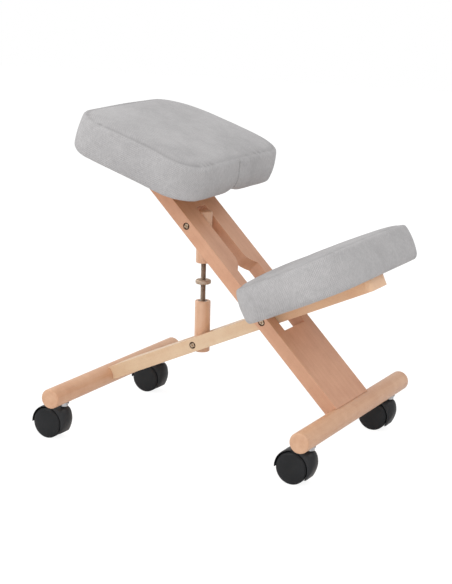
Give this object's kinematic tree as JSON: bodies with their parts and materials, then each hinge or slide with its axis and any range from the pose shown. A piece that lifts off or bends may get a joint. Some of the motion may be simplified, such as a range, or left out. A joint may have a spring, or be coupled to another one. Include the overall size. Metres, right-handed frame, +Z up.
{
  "type": "kneeling chair",
  "caption": "Kneeling chair with a sloped padded seat and knee cushion on a crossed wooden frame that a screw opens to set the height, standing on swivel castors.",
  "frame": {"origin": "on the floor under the middle of the chair's box, with the castors trailing straight back", "axes": "+X the way the sitter faces, +Y to the sitter's left, +Z up"},
  "size_m": [0.6424, 0.46, 0.6243],
  "materials": {
    "beech": "clear satin lacquer on reddish beech",
    "pale_beech": "clear satin lacquer on pale beech",
    "plywood": "bare plywood",
    "grey_fabric": "light grey woven upholstery",
    "black_plastic": "satin black moulding",
    "dark_nylon": "plain nylon",
    "bright_steel": "zinc plated",
    "bronzed_steel": "yellow-brown plated thread"
  },
  "bodies": {
    "base": {"lower_beam": "pale_beech", "rear_foot_bar": "beech", "rear_dowel_right": "beech", "rear_dowel_left": "beech", "knee_base": "plywood", "knee_cushion": "grey_fabric", "knee_screw_rear": "bright_steel", "knee_screw_front": "bright_steel", "lower_barrel_bolt": "bright_steel", "lower_barrel_sleeve_nut": "bright_steel", "pivot_bolt": "bright_steel", "pivot_sleeve_nut": "bright_steel", "pivot_washer_right": "dark_nylon", "pivot_washer_left": "dark_nylon", "rear_right_castor_socket": "bright_steel", "rear_left_castor_socket": "bright_steel"},
    "board": {"main_board": "beech", "front_foot_bar": "beech", "front_dowel_right": "beech", "front_dowel_left": "beech", "seat_base": "plywood", "seat_cushion": "grey_fabric", "seat_cleat_right": "beech", "seat_cleat_left": "beech", "seat_screw_right_rear": "bright_steel", "seat_screw_right_front": "bright_steel", "seat_screw_left_rear": "bright_steel", "seat_screw_left_front": "bright_steel", "seat_cross_bolt": "bright_steel", "upper_barrel_bolt": "bright_steel", "upper_barrel_sleeve_nut": "bright_steel", "front_right_castor_socket": "bright_steel", "front_left_castor_socket": "bright_steel"},
    "lower_barrel": {"lower_barrel": "pale_beech", "lower_insert": "bright_steel"},
    "upper_barrel": {"upper_barrel": "pale_beech", "upper_insert": "bright_steel"},
    "rod": {"threaded_rod": "bronzed_steel"},
    "hand_disc": {"hand_disc": "bright_steel"},
    "rear_right_castor": {"rear_right_castor_stem": "bright_steel", "rear_right_castor_hood": "black_plastic", "rear_right_castor_axle": "bright_steel"},
    "rear_right_castor_wheel_right": {"rear_right_castor_wheel_right": "black_plastic"},
    "rear_right_castor_wheel_left": {"rear_right_castor_wheel_left": "black_plastic"},
    "rear_left_castor": {"rear_left_castor_stem": "bright_steel", "rear_left_castor_hood": "black_plastic", "rear_left_castor_axle": "bright_steel"},
    "rear_left_castor_wheel_right": {"rear_left_castor_wheel_right": "black_plastic"},
    "rear_left_castor_wheel_left": {"rear_left_castor_wheel_left": "black_plastic"},
    "front_right_castor": {"front_right_castor_stem": "bright_steel", "front_right_castor_hood": "black_plastic", "front_right_castor_axle": "bright_steel"},
    "front_right_castor_wheel_right": {"front_right_castor_wheel_right": "black_plastic"},
    "front_right_castor_wheel_left": {"front_right_castor_wheel_left": "black_plastic"},
    "front_left_castor": {"front_left_castor_stem": "bright_steel", "front_left_castor_hood": "black_plastic", "front_left_castor_axle": "bright_steel"},
    "front_left_castor_wheel_right": {"front_left_castor_wheel_right": "black_plastic"},
    "front_left_castor_wheel_left": {"front_left_castor_wheel_left": "black_plastic"}
  },
  "joints": [
    {"name": "fold", "type": "hinge", "parent": "base", "child": "board", "pos_m": [0.10454, 0, 0.25084], "axis": [0, 1, 0], "range_deg": [-12, 10]},
    {"name": "lower_barrel_tilt", "type": "hinge", "parent": "base", "child": "lower_barrel", "pos_m": [-0.05907, 0, 0.17823], "axis": [0, 1, 0], "range_deg": [-8.5, 7.1]},
    {"name": "upper_barrel_tilt", "type": "hinge", "parent": "board", "child": "upper_barrel", "pos_m": [-0.05573, 0, 0.41511], "axis": [0, 1, 0], "range_deg": [-3.3, 3.9]},
    {"name": "rod_slide", "type": "slide", "parent": "lower_barrel", "child": "rod", "axis": [0.0141, 0, 0.9999], "range_m": [-0.0173, 0.0145]},
    {"name": "hand_disc_spin", "type": "hinge", "parent": "rod", "child": "hand_disc", "pos_m": [-0.0574, 0, 0.29667], "axis": [0.0141, 0, 0.9999], "range_deg": [-4150, 3450]},
    {"name": "rear_right_swivel", "type": "hinge", "parent": "base", "child": "rear_right_castor", "pos_m": [-0.25833, -0.181, 0.06], "axis": [0, 0, 1], "continuous": true},
    {"name": "rear_right_wheel_right_spin", "type": "hinge", "parent": "rear_right_castor", "child": "rear_right_castor_wheel_right", "pos_m": [-0.28783, -0.181, 0.03], "axis": [0, 1, 0], "continuous": true},
    {"name": "rear_right_wheel_left_spin", "type": "hinge", "parent": "rear_right_castor", "child": "rear_right_castor_wheel_left", "pos_m": [-0.28783, -0.181, 0.03], "axis": [0, 1, 0], "continuous": true},
    {"name": "rear_left_swivel", "type": "hinge", "parent": "base", "child": "rear_left_castor", "pos_m": [-0.25833, 0.181, 0.06], "axis": [0, 0, 1], "continuous": true},
    {"name": "rear_left_wheel_right_spin", "type": "hinge", "parent": "rear_left_castor", "child": "rear_left_castor_wheel_right", "pos_m": [-0.28783, 0.181, 0.03], "axis": [0, 1, 0], "continuous": true},
    {"name": "rear_left_wheel_left_spin", "type": "hinge", "parent": "rear_left_castor", "child": "rear_left_castor_wheel_left", "pos_m": [-0.28783, 0.181, 0.03], "axis": [0, 1, 0], "continuous": true},
    {"name": "front_right_swivel", "type": "hinge", "parent": "board", "child": "front_right_castor", "pos_m": [0.26167, -0.181, 0.06], "axis": [0, 0, 1], "continuous": true},
    {"name": "front_right_wheel_right_spin", "type": "hinge", "parent": "front_right_castor", "child": "front_right_castor_wheel_right", "pos_m": [0.23217, -0.181, 0.03], "axis": [0, 1, 0], "continuous": true},
    {"name": "front_right_wheel_left_spin", "type": "hinge", "parent": "front_right_castor", "child": "front_right_castor_wheel_left", "pos_m": [0.23217, -0.181, 0.03], "axis": [0, 1, 0], "continuous": true},
    {"name": "front_left_swivel", "type": "hinge", "parent": "board", "child": "front_left_castor", "pos_m": [0.26167, 0.181, 0.06], "axis": [0, 0, 1], "continuous": true},
    {"name": "front_left_wheel_right_spin", "type": "hinge", "parent": "front_left_castor", "child": "front_left_castor_wheel_right", "pos_m": [0.23217, 0.181, 0.03], "axis": [0, 1, 0], "continuous": true},
    {"name": "front_left_wheel_left_spin", "type": "hinge", "parent": "front_left_castor", "child": "front_left_castor_wheel_left", "pos_m": [0.23217, 0.181, 0.03], "axis": [0, 1, 0], "continuous": true}
  ],
  "couplings": [
    {"joint": "lower_barrel_tilt", "follows": "fold", "ratio": 0.6888},
    {"joint": "upper_barrel_tilt", "follows": "fold", "ratio": -0.3112},
    {"joint": "rod_slide", "follows": "fold", "m_per_rad": 0.0818},
    {"joint": "hand_disc_spin", "follows": "fold", "ratio": 342.7}
  ]
}
